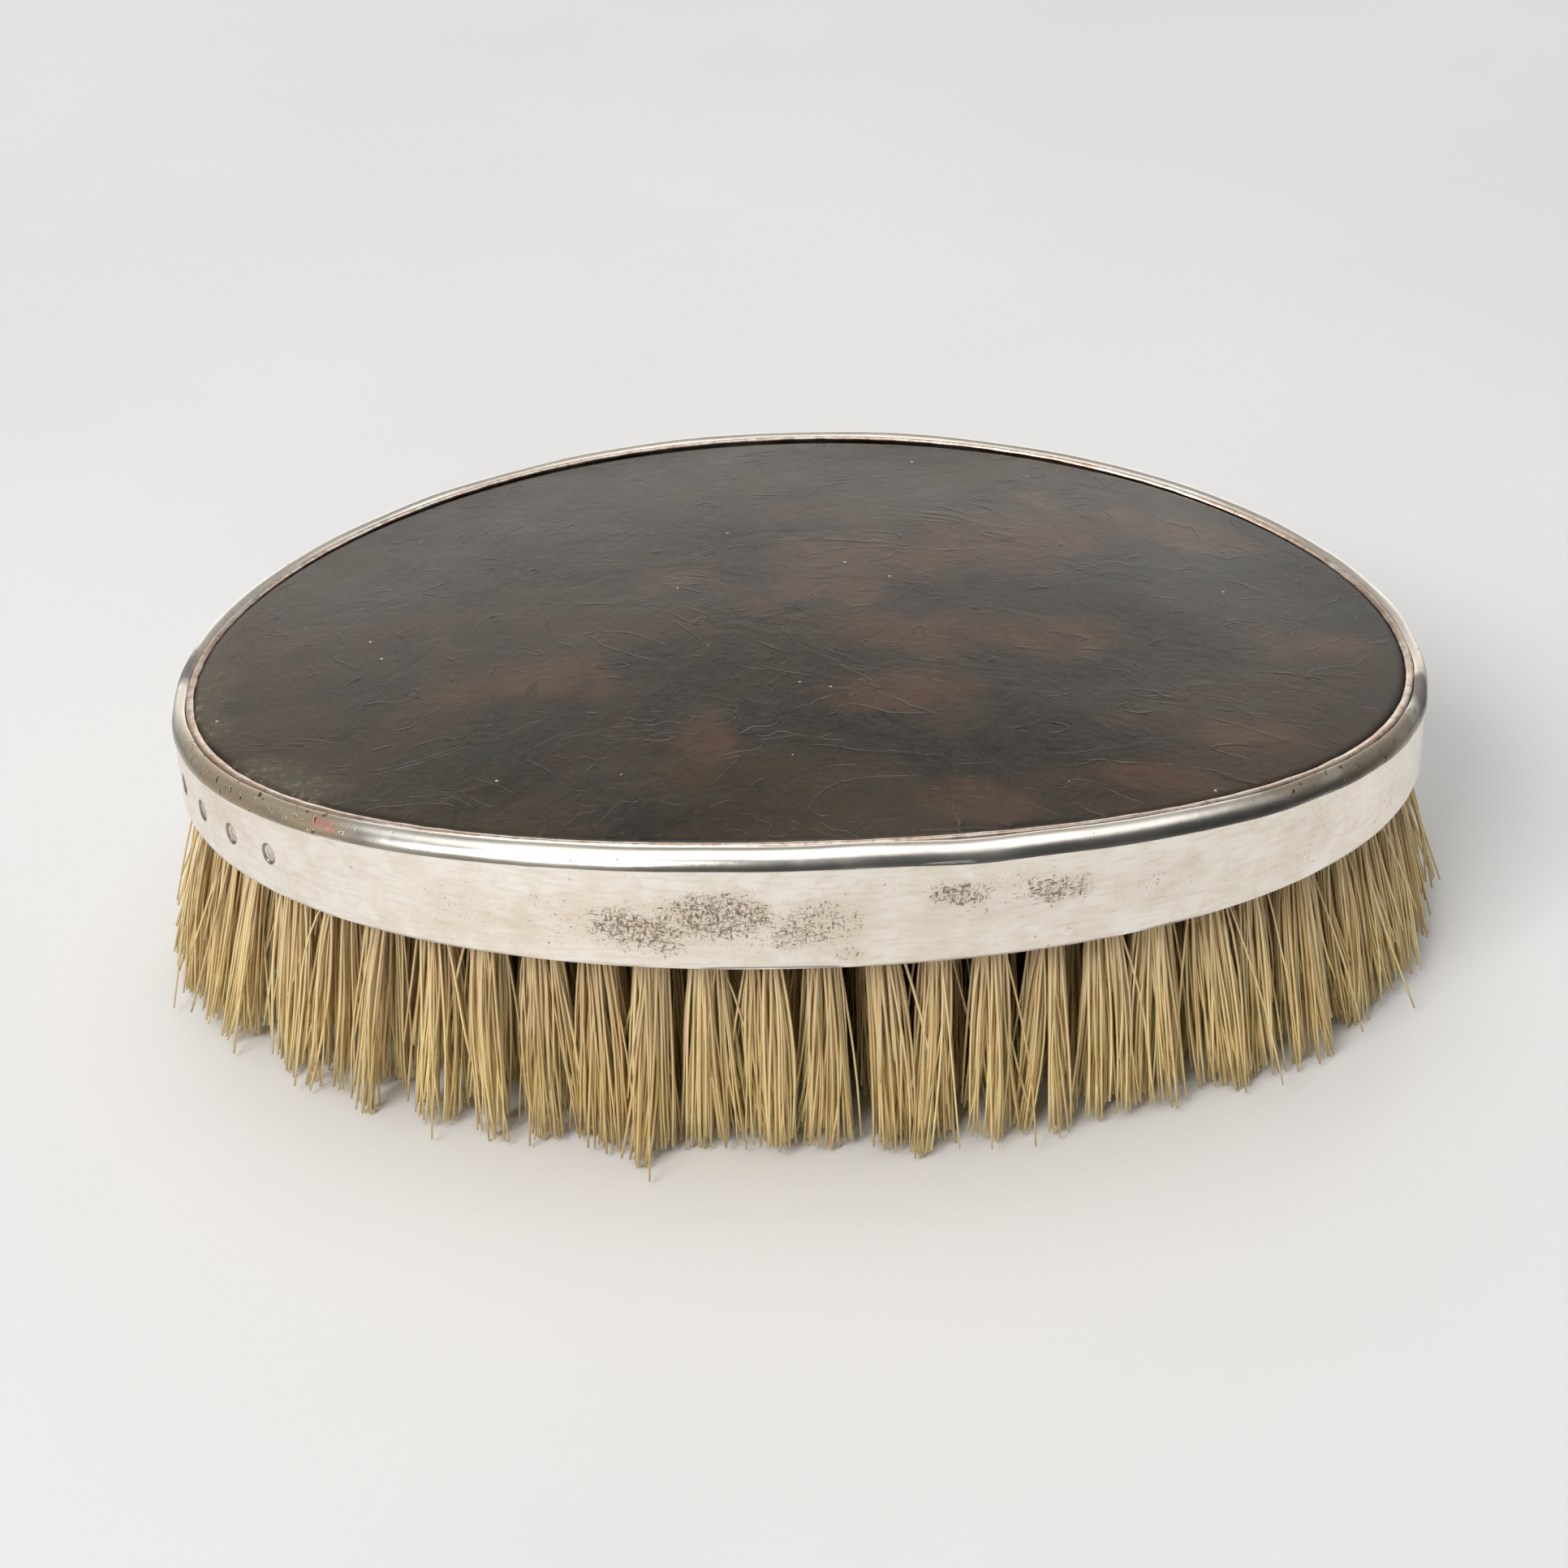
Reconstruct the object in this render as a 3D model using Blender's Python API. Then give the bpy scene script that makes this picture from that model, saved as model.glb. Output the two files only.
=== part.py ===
"""Oval vanity hairbrush with a silver mount, a tortoiseshell back and drawn bristle tufts.

Metres, +Z up. The brush stands on its bristle tips, which end on Z = 0, and its length runs along X.
The mount is a thin side band with a half-round bead and an inner bezel on its upper edge. Under the
shell plate lie a cement bed, a packing board and the drilled stock. Every tuft passes through its own
hole in the stock and is tied to its neighbours by the drawing wire that lies on the stock's back.
"""
import math

import bmesh
import bpy
from mathutils import Vector

# Driving dimensions
HALF_LENGTH = 0.0600        # of the bead's outer edge
HALF_WIDTH = 0.0385
OVAL_POWER = 2.06           # 2 is an ellipse, and a little more fills out its shoulders
TOP_HEIGHT = 0.0365         # crown of the bead at mid length
TOP_ARCH = 0.0052           # how far the bead drops from mid length to the ends
EDGE_HEIGHT = 0.0242        # lower edge of the band at mid length
EDGE_ARCH = 0.0017          # how far that edge drops at the ends
GAP = 0.0003                # clearance between neighbouring pieces

BEAD_WIDTH = 0.0014
BEAD_DEPTH = 0.0019
BAND_INSET = 0.00010        # band's outer face at its top, in from the bead's outer edge
BAND_THICKNESS = 0.00070
BAND_FLARE = 0.00010        # how far the band widens down to its lower edge
BEZEL_THICKNESS = 0.00035
BEZEL_DEPTH = 0.0030
BEZEL_LIP = 0.00060         # how far the bezel folds in over the shell
SHELL_INSET = BEAD_WIDTH + BEZEL_THICKNESS + 2 * GAP
SHELL_THICKNESS = 0.0014
SHELL_DROP = 0.0005         # edge of the shell's face below the bead's crown
SHELL_CROWN = 0.0010        # rise of the shell's face from its edge to its middle
BED_THICKNESS = 0.0005
STOCK_TOP = 0.0274
STOCK_THICKNESS = 0.0032
BOARD_HALF_LENGTH = 0.0470
BOARD_HALF_WIDTH = 0.0342

TUFT_ROWS = 5               # closed rows, each one inside the last
ROW_SPACING = 0.0062
FIRST_ROW_INSET = 0.0042
END_INSET = 0.0012          # further inset of every closed row at its two ends
OUTER_PITCH = 0.0050
INNER_PITCH = 0.0058
MIDDLE_ROW_HALF = 0.0225
MIDDLE_ROW_TUFTS = 9
TUFT_SIDES = 6
ROOT_RADIUS = 0.00135
TIP_RADIUS = 0.0023
END_LEAN = 0.0078           # how far tips stand out past their roots, reckoned at the ends
LEAN_POWER = 2
WIRE_THICKNESS = 0.0006

PIN_COUNT = 3
PIN_PHASE = math.radians(51.1)
PIN_RADIUS = 0.0005
PIN_LENGTH = 0.0022
PIN_HEIGHT = 0.0253

OUTLINE_STEPS = 72
ARC_SAMPLES = 2880


def clear_scene():
    for item in list(bpy.data.objects):
        bpy.data.objects.remove(item, do_unlink=True)


def make_material(name, color, roughness, metallic=0.0):
    material = bpy.data.materials.new(name)
    material.use_nodes = True
    shader = material.node_tree.nodes["Principled BSDF"]
    shader.inputs["Base Color"].default_value = (*color, 1.0)
    shader.inputs["Roughness"].default_value = roughness
    shader.inputs["Metallic"].default_value = metallic
    return material


def finish_object(mesh_builder, name, material, root, sharp_angle=35):
    """Turn a bmesh into a named object with outward faces and smooth round sides."""
    bmesh.ops.recalc_face_normals(mesh_builder, faces=mesh_builder.faces)
    mesh = bpy.data.meshes.new(name)
    mesh_builder.to_mesh(mesh)
    mesh_builder.free()
    mesh.shade_smooth()
    mesh.set_sharp_from_angle(angle=math.radians(sharp_angle))
    piece = bpy.data.objects.new(name, mesh)
    piece.data.materials.append(material)
    piece.parent = root
    bpy.context.collection.objects.link(piece)
    return piece


def signed_power(value, power):
    return math.copysign(abs(value) ** power, value)


def oval_point(angle, half_length, half_width):
    x = half_length * signed_power(math.cos(angle), 2 / OVAL_POWER)
    y = half_width * signed_power(math.sin(angle), 2 / OVAL_POWER)
    return Vector((x, y))


def oval_normal(point, half_length, half_width):
    across = signed_power(point.x / half_length, OVAL_POWER - 1) / half_length
    along = signed_power(point.y / half_width, OVAL_POWER - 1) / half_width
    return Vector((across, along)).normalized()


def edge_point(angle, inset):
    """A point on the brush's outline, moved straight inwards by inset."""
    point = oval_point(angle, HALF_LENGTH, HALF_WIDTH)
    return point - oval_normal(point, HALF_LENGTH, HALF_WIDTH) * inset


def outline_angles():
    return [2 * math.pi * step / OUTLINE_STEPS for step in range(OUTLINE_STEPS)]


def crown_height(x):
    """Height of the bead's crown, which arches along the brush."""
    return TOP_HEIGHT - TOP_ARCH * (x / HALF_LENGTH) ** 2


def edge_height(x):
    """Height of the band's lower edge."""
    return EDGE_HEIGHT - EDGE_ARCH * (x / HALF_LENGTH) ** 2


def shell_height(x, y):
    """Height of the shell's polished face."""
    radius = min(1.0, math.hypot(x / (HALF_LENGTH - SHELL_INSET), y / (HALF_WIDTH - SHELL_INSET)))
    return crown_height(x) - SHELL_DROP + SHELL_CROWN * (1 - radius ** 2)


def sweep_section(name, section, material, root):
    """Sweep a closed section round the outline.

    Each corner is an inset from the outline, the curve its height is measured from, and a rise.
    """
    build = bmesh.new()
    rings = []
    for angle in outline_angles():
        ring = []
        for inset, base_curve, rise in section:
            plan = edge_point(angle, inset)
            ring.append(build.verts.new((plan.x, plan.y, base_curve(plan.x) + rise)))
        rings.append(ring)
    corners = len(rings[0])
    for step, ring in enumerate(rings):
        following = rings[(step + 1) % len(rings)]
        for corner in range(corners):
            after = (corner + 1) % corners
            build.faces.new((ring[corner], ring[after], following[after], following[corner]))
    return finish_object(build, name, material, root)


def face_rings(build, outline, fractions, height):
    """Rings of corners from the outline in to one middle point, joined by faces."""
    rings = []
    for fraction in fractions:
        ring = []
        for point in outline:
            x, y = point.x * fraction, point.y * fraction
            ring.append(build.verts.new((x, y, height(x, y))))
        rings.append(ring)
    middle = build.verts.new((0, 0, height(0, 0)))
    count = len(outline)
    for outer, inner in zip(rings, rings[1:]):
        for step in range(count):
            after = (step + 1) % count
            build.faces.new((outer[step], outer[after], inner[after], inner[step]))
    for step in range(count):
        build.faces.new((rings[-1][step], rings[-1][(step + 1) % count], middle))
    return rings[0]


def make_plate(name, outline, top, bottom, fractions, material, root):
    """A plate between two curved faces. A bottom that is a number is one flat face."""
    build = bmesh.new()
    upper = face_rings(build, outline, fractions, top)
    if callable(bottom):
        lower = face_rings(build, outline, fractions, bottom)
    else:
        lower = [build.verts.new((point.x, point.y, bottom)) for point in outline]
        build.faces.new(lower)
    count = len(outline)
    for step in range(count):
        after = (step + 1) % count
        build.faces.new((upper[step], upper[after], lower[after], lower[step]))
    return finish_object(build, name, material, root)


def bead_section():
    """Half-round moulding: a rounded crown on a flat foot."""
    middle = BEAD_WIDTH / 2
    shoulder = BEAD_DEPTH * 0.55
    corners = []
    for degrees in (-35, 0, 35, 65, 90, 115, 145, 180):
        turn = math.radians(degrees)
        inset = middle - middle * math.cos(turn)
        reach = shoulder if degrees > 0 else BEAD_DEPTH - shoulder
        corners.append((inset, crown_height, reach * math.sin(turn) - shoulder))
    corners.append((BEAD_WIDTH, crown_height, -BEAD_DEPTH))
    corners.append((BAND_INSET, crown_height, -BEAD_DEPTH))
    return corners


def band_section():
    top = -BEAD_DEPTH - GAP
    inner = BAND_INSET + BAND_THICKNESS
    return [(BAND_INSET - BAND_FLARE, edge_height, 0), (BAND_INSET, crown_height, top),
            (inner, crown_height, top), (inner - BAND_FLARE, edge_height, 0)]


def bezel_section():
    """Upright strip behind the bead, folded in over the shell's edge."""
    fold = GAP - SHELL_DROP
    top = fold + BEZEL_THICKNESS
    outer = BEAD_WIDTH + GAP
    inner = outer + BEZEL_THICKNESS
    corners = [(outer, top - BEZEL_DEPTH), (outer, top), (inner + BEZEL_LIP, top),
               (inner + BEZEL_LIP, fold), (inner, fold), (inner, top - BEZEL_DEPTH)]
    return [(inset, crown_height, rise) for inset, rise in corners]


def make_mount(root, silver):
    band = sweep_section("side_band", band_section(), silver, root)
    sweep_section("rim_bead", bead_section(), silver, root)
    sweep_section("shell_bezel", bezel_section(), silver, root)
    return band


def make_back(root, shell, cement, wood):
    outline = [edge_point(angle, SHELL_INSET) for angle in outline_angles()]

    def shell_under(x, y):
        return shell_height(x, y) - SHELL_THICKNESS

    def bed_top(x, y):
        return shell_under(x, y) - GAP

    def bed_under(x, y):
        return bed_top(x, y) - BED_THICKNESS

    def board_top(x, y):
        return bed_under(x, y) - GAP

    make_plate("tortoiseshell_back", outline, shell_height, shell_under, (1, 0.75, 0.4), shell, root)
    make_plate("cement_bed", outline, bed_top, bed_under, (1, 0.75, 0.4), cement, root)
    board_outline = [oval_point(a, BOARD_HALF_LENGTH, BOARD_HALF_WIDTH) for a in outline_angles()]
    board_base = STOCK_TOP + 2 * GAP + WIRE_THICKNESS
    make_plate("packing_board", board_outline, board_top, board_base, (1, 0.6), wood, root)


def spaced_round(half_length, half_width, pitch, start):
    """Points spaced evenly along an oval, with the direction of the oval at each."""
    turns = [2 * math.pi * step / ARC_SAMPLES for step in range(ARC_SAMPLES + 1)]
    points = [oval_point(turn, half_length, half_width) for turn in turns]
    travelled = [0.0]
    for before, after in zip(points, points[1:]):
        travelled.append(travelled[-1] + (after - before).length)
    count = round(travelled[-1] / pitch)
    step_length = travelled[-1] / count
    places = []
    sample = 0
    for number in range(count):
        target = (number + start) * step_length
        while travelled[sample + 1] < target:
            sample += 1
        direction = (points[sample + 1] - points[sample]).normalized()
        places.append((points[sample], direction))
    return places


def tuft_rows():
    """Places of all tufts, row by row, from the outermost in."""
    rows = []
    for row in range(TUFT_ROWS):
        inset = FIRST_ROW_INSET + row * ROW_SPACING
        pitch = OUTER_PITCH if row == 0 else INNER_PITCH
        start = 0.5 if row % 2 else 0.0
        rows.append(spaced_round(HALF_LENGTH - inset - END_INSET, HALF_WIDTH - inset, pitch, start))
    spread = 2 * MIDDLE_ROW_HALF / (MIDDLE_ROW_TUFTS - 1)
    middle = [Vector((number * spread - MIDDLE_ROW_HALF, 0)) for number in range(MIDDLE_ROW_TUFTS)]
    rows.append([(point, Vector((1, 0))) for point in middle])
    return rows


def tuft_ring(build, place, height, extra_radius=0.0):
    """Corners of one tuft at a height, with two opposite sides facing its neighbours."""
    root_point, direction = place
    head = STOCK_TOP + GAP + WIRE_THICKNESS
    share = (head - height) / head
    radius = ROOT_RADIUS + (TIP_RADIUS - ROOT_RADIUS) * share + extra_radius
    lean = END_LEAN * signed_power(root_point.x / HALF_LENGTH, LEAN_POWER) * share
    ring = []
    for side in range(TUFT_SIDES):
        turn = 2 * math.pi * (side + 0.5) / TUFT_SIDES
        offset = direction * math.cos(turn) + Vector((-direction.y, direction.x)) * math.sin(turn)
        plan = root_point + offset * radius
        ring.append(build.verts.new((plan.x + lean, plan.y, height)))
    return ring


def join_rings(build, upper, lower, skipped=()):
    for side in range(TUFT_SIDES):
        if side in skipped:
            continue
        after = (side + 1) % TUFT_SIDES
        build.faces.new((upper[side], upper[after], lower[after], lower[side]))


def make_tuft_row(name, places, closed, material, root):
    """A row of tufts tied together by the flattened wire between their folded heads."""
    build = bmesh.new()
    wire_top = STOCK_TOP + GAP + WIRE_THICKNESS
    wire_low = STOCK_TOP + GAP
    forward, backward = TUFT_SIDES - 1, TUFT_SIDES // 2 - 1
    tufts = []
    for number, place in enumerate(places):
        upper = tuft_ring(build, place, wire_top)
        lower = tuft_ring(build, place, wire_low)
        tip = tuft_ring(build, place, 0.0)
        build.faces.new(upper)
        build.faces.new(tip)
        skipped = {forward, backward}
        if not closed and number == 0:
            skipped = {forward}
        if not closed and number == len(places) - 1:
            skipped = {backward}
        join_rings(build, upper, lower, skipped)
        join_rings(build, lower, tip)
        tufts.append((upper, lower))
    links = len(tufts) if closed else len(tufts) - 1
    for number in range(links):
        upper, lower = tufts[number]
        next_upper, next_lower = tufts[(number + 1) % len(tufts)]
        near = (upper[forward], upper[0], lower[0], lower[forward])
        far = (next_upper[backward + 1], next_upper[backward],
               next_lower[backward], next_lower[backward + 1])
        for corner in range(4):
            after = (corner + 1) % 4
            build.faces.new((near[corner], near[after], far[after], far[corner]))
    return finish_object(build, name, material, root)


def make_cutter(name, build, root):
    bmesh.ops.recalc_face_normals(build, faces=build.faces)
    mesh = bpy.data.meshes.new(name)
    build.to_mesh(mesh)
    build.free()
    cutter = bpy.data.objects.new(name, mesh)
    cutter.parent = root
    cutter.hide_render = True
    cutter.display_type = "WIRE"
    bpy.context.collection.objects.link(cutter)
    return cutter


def cut_with(piece, cutter):
    cut = piece.modifiers.new(cutter.name, "BOOLEAN")
    cut.operation = "DIFFERENCE"
    cut.solver = "EXACT"
    cut.object = cutter


def make_stock(root, wood):
    """Flat board that fills the band, before its holes are drilled."""
    inset = BAND_INSET + BAND_THICKNESS + GAP
    outline = [edge_point(angle, inset) for angle in outline_angles()]
    build = bmesh.new()
    base = [build.verts.new((p.x, p.y, STOCK_TOP - STOCK_THICKNESS)) for p in outline]
    bottom = build.faces.new(base)
    lifted = bmesh.ops.extrude_face_region(build, geom=[bottom])["geom"]
    raised = [item for item in lifted if isinstance(item, bmesh.types.BMVert)]
    bmesh.ops.translate(build, verts=raised, vec=(0, 0, STOCK_THICKNESS))
    return finish_object(build, "bristle_stock", wood, root)


def make_tuft_drill(rows, root):
    """One slanted hole for every tuft."""
    build = bmesh.new()
    clearance = GAP / math.cos(math.pi / TUFT_SIDES)
    overrun = GAP
    for places in rows:
        for place in places:
            upper = tuft_ring(build, place, STOCK_TOP + overrun, clearance)
            lower = tuft_ring(build, place, STOCK_TOP - STOCK_THICKNESS - overrun, clearance)
            build.faces.new(upper)
            build.faces.new(lower)
            join_rings(build, upper, lower)
    return make_cutter("tuft_drill", build, root)


def pin_frame(number):
    """Outer end of a pin on the band, and its inward direction."""
    angle = 2 * math.pi * number / PIN_COUNT + PIN_PHASE
    outline_point = oval_point(angle, HALF_LENGTH, HALF_WIDTH)
    inward = -oval_normal(outline_point, HALF_LENGTH, HALF_WIDTH)
    start = outline_point + inward * (BAND_INSET - BAND_FLARE)
    return Vector((start.x, start.y, PIN_HEIGHT)), Vector((inward.x, inward.y, 0))


def add_rod(build, start, inward, radius, sides=8):
    """A short rod from start, inward over the pin's length."""
    side = Vector((-inward.y, inward.x, 0))
    near_end, far_end = start, start + inward * PIN_LENGTH
    rings = []
    for centre in (near_end, far_end):
        ring = []
        for step in range(sides):
            turn = 2 * math.pi * step / sides
            offset = side * math.cos(turn) + Vector((0, 0, 1)) * math.sin(turn)
            ring.append(build.verts.new(centre + offset * radius))
        rings.append(ring)
    for step in range(sides):
        after = (step + 1) % sides
        build.faces.new((rings[0][step], rings[0][after], rings[1][after], rings[1][step]))
    build.faces.new(rings[0])
    build.faces.new(rings[1])


def make_pins(root, silver):
    """The pins that fix the band to the stock, and the drill that makes their holes."""
    drill = bmesh.new()
    for number in range(PIN_COUNT):
        start, inward = pin_frame(number)
        build = bmesh.new()
        add_rod(build, start, inward, PIN_RADIUS)
        finish_object(build, f"band_pin_{number + 1}", silver, root)
        add_rod(drill, start - inward * GAP, inward * (1 + 2 * GAP / PIN_LENGTH), PIN_RADIUS + GAP)
    return make_cutter("pin_drill", drill, root)


def main():
    clear_scene()
    root = bpy.data.objects.new("hairbrush", None)
    bpy.context.collection.objects.link(root)
    silver = make_material("silver", (0.86, 0.84, 0.80), 0.22, metallic=1.0)
    shell = make_material("tortoiseshell", (0.045, 0.036, 0.030), 0.20)
    wood = make_material("stock_wood", (0.42, 0.27, 0.15), 0.55)
    cement = make_material("cement", (0.25, 0.17, 0.10), 0.80)
    bristle = make_material("bristle", (0.62, 0.47, 0.25), 0.50)

    band = make_mount(root, silver)
    make_back(root, shell, cement, wood)
    rows = tuft_rows()
    for number, places in enumerate(rows[:-1]):
        make_tuft_row(f"bristle_row_{number + 1}", places, True, bristle, root)
    make_tuft_row("bristle_row_middle", rows[-1], False, bristle, root)
    stock = make_stock(root, wood)
    pin_drill = make_pins(root, silver)
    cut_with(stock, make_tuft_drill(rows, root))
    cut_with(stock, pin_drill)
    cut_with(band, pin_drill)


main()
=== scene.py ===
"""Looks of the oval vanity hairbrush: silver mount, tortoiseshell back and natural bristle.

Metres, +Z up. The brush stands on its bristle tips on Z = 0, with its length along X. The front is -Y.
"""
import math

import bmesh
import bpy
import numpy as np
from mathutils import Matrix, Vector


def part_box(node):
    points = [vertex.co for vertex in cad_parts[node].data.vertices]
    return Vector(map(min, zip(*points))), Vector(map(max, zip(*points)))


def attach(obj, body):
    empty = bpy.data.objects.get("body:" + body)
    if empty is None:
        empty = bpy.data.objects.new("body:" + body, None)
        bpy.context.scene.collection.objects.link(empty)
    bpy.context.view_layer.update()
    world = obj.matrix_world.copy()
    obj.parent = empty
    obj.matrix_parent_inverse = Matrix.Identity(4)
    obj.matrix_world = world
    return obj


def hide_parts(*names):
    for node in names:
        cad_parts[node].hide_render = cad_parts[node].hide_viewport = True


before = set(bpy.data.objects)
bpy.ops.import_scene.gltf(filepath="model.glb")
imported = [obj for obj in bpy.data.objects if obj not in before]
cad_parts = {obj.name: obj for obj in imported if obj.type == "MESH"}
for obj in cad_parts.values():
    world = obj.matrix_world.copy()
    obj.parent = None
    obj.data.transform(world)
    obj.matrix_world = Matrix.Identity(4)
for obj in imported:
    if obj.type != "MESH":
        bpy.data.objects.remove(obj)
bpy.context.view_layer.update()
MM = 0.001

# Lowest and highest corners of the CAD pieces that the looks follow
BEAD_LOW, BEAD_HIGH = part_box("rim_bead")
BAND_LOW, BAND_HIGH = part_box("side_band")
STOCK_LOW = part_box("bristle_stock")[0]
SHELL_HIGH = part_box("tortoiseshell_back")[1]

# The outline is a superellipse, and every inset is measured inwards from it
HALF_LENGTH = BEAD_HIGH[0]
HALF_WIDTH = BEAD_HIGH[1]
OVAL_POWER = 2.06
BEAD_DEPTH = 1.9 * MM
BEAD_WIDTH = 1.4 * MM
TOP_HEIGHT = BEAD_HIGH[2]
TOP_ARCH = TOP_HEIGHT - BEAD_DEPTH - BEAD_LOW[2]
EDGE_ARCH = 1.7 * MM
EDGE_HEIGHT = BAND_LOW[2] + EDGE_ARCH
BAND_INSET = 0.1 * MM
BAND_FLARE = BAND_HIGH[0] - HALF_LENGTH + BAND_INSET
BAND_THICKNESS = 0.7 * MM
SHELL_DROP = 0.5 * MM
SHELL_RISE = SHELL_HIGH[2] - TOP_HEIGHT + SHELL_DROP
SHELL_THICKNESS = 1.4 * MM
SHELL_INSET = HALF_LENGTH - SHELL_HIGH[0]
BEZEL_INNER_INSET = 2.05 * MM

# Points round the outline
AROUND = 720
FINE_AROUND = 2 * AROUND

random = np.random.default_rng(7)


# ---------------------------------------------------------------- outline and mesh helpers

def full_circle(count):
    """Angles evenly spaced once round."""
    return np.linspace(0, 2 * math.pi, count, endpoint=False)


def bell(value, centre, width):
    return np.exp(-((value - centre) / width) ** 2)


def signed_power(value, power):
    return np.sign(value) * np.abs(value) ** power


def edge_points(angles, inset=0.0):
    """Points on the brush's outline at these angles, moved inwards by inset."""
    x = HALF_LENGTH * signed_power(np.cos(angles), 2 / OVAL_POWER)
    y = HALF_WIDTH * signed_power(np.sin(angles), 2 / OVAL_POWER)
    nx = signed_power(x / HALF_LENGTH, OVAL_POWER - 1) / HALF_LENGTH
    ny = signed_power(y / HALF_WIDTH, OVAL_POWER - 1) / HALF_WIDTH
    length = np.hypot(nx, ny)
    nx, ny = nx / length, ny / length
    return x - inset * nx, y - inset * ny


def edge_normals(angles):
    """Outward normals of the outline at these angles."""
    x, y = edge_points(angles)
    inner_x, inner_y = edge_points(angles, MM)
    return (x - inner_x) / MM, (y - inner_y) / MM


def crown_height(x):
    return TOP_HEIGHT - TOP_ARCH * (x / HALF_LENGTH) ** 2


def edge_height(x):
    return EDGE_HEIGHT - EDGE_ARCH * (x / HALF_LENGTH) ** 2


def shell_height(x, y):
    radius = np.hypot(x / (HALF_LENGTH - SHELL_INSET), y / (HALF_WIDTH - SHELL_INSET))
    return crown_height(x) - SHELL_DROP + SHELL_RISE * (1 - np.minimum(radius, 1) ** 2)


def arc_positions(angles):
    """Distance along the outline to each angle, from the first one."""
    x, y = edge_points(angles)
    steps = np.hypot(np.diff(x), np.diff(y))
    return np.concatenate([[0], np.cumsum(steps)])


def waves(u, v, amplitude, count, low, high, seed):
    """Soft unevenness: a sum of sines that run all ways, with low to high cycles over a unit."""
    source = np.random.default_rng(seed)
    total = 0.0
    for _ in range(count):
        cycles = source.uniform(low, high)
        heading = source.uniform(0, 2 * math.pi)
        phase = source.uniform(0, 2 * math.pi)
        way = u * math.cos(heading) + v * math.sin(heading)
        total = total + np.sin(2 * math.pi * cycles * way + phase)
    return total * amplitude / math.sqrt(count)


def ring_waves(angles, amplitude, low, high, seed):
    """Unevenness round the outline that closes on itself."""
    source = np.random.default_rng(seed)
    total = 0.0
    for cycles in range(low, high):
        phase = source.uniform(0, 2 * math.pi)
        total = total + np.sin(cycles * angles + phase) * source.normal(0, 1)
    return total * amplitude / math.sqrt(high - low)


def mesh_object(name, points, faces, smooth=True):
    mesh = bpy.data.meshes.new(name)
    mesh.from_pydata(points, [], faces)
    mesh.update()
    if smooth:
        mesh.shade_smooth()
    piece = bpy.data.objects.new(name, mesh)
    bpy.context.collection.objects.link(piece)
    return piece


def ring_mesh(name, grid):
    """A closed ring from an array of corners: around, across the section, xyz."""
    around, across = grid.shape[:2]
    index = np.arange(around * across).reshape(around, across)
    ahead = np.roll(index, -1, axis=0)
    aside = np.roll(index, -1, axis=1)
    both = np.roll(ahead, -1, axis=1)
    faces = np.stack([index, ahead, both, aside], axis=-1).reshape(-1, 4)
    piece = mesh_object(name, grid.reshape(-1, 3).tolist(), faces.tolist())
    face_outwards(piece)
    return piece


def capped_mesh(name, loops, start, end):
    """A closed form from rings of corners, with one more corner that closes each end."""
    rings, around = len(loops), len(loops[0])
    last = (rings - 1) * around
    start_corner = rings * around
    faces = []
    for step in range(around):
        after = (step + 1) % around
        for base in range(0, last, around):
            faces.append((base + step, base + after, base + around + after, base + around + step))
        faces.append((after, step, start_corner))
        faces.append((last + step, last + after, start_corner + 1))
    piece = mesh_object(name, [*np.concatenate(loops).tolist(), start, end], faces)
    face_outwards(piece)
    return piece


def face_outwards(piece):
    build = bmesh.new()
    build.from_mesh(piece.data)
    bmesh.ops.recalc_face_normals(build, faces=build.faces)
    build.to_mesh(piece.data)
    build.free()


def settle(piece, material, slot, *replaced):
    """Give a piece its material and its body, and hide the CAD parts it replaces. The slot is not used."""
    piece.data.materials.clear()
    piece.data.materials.append(material)
    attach(piece, "root")
    if replaced:
        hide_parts(*replaced)
    return piece


# ---------------------------------------------------------------- material helpers

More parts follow.
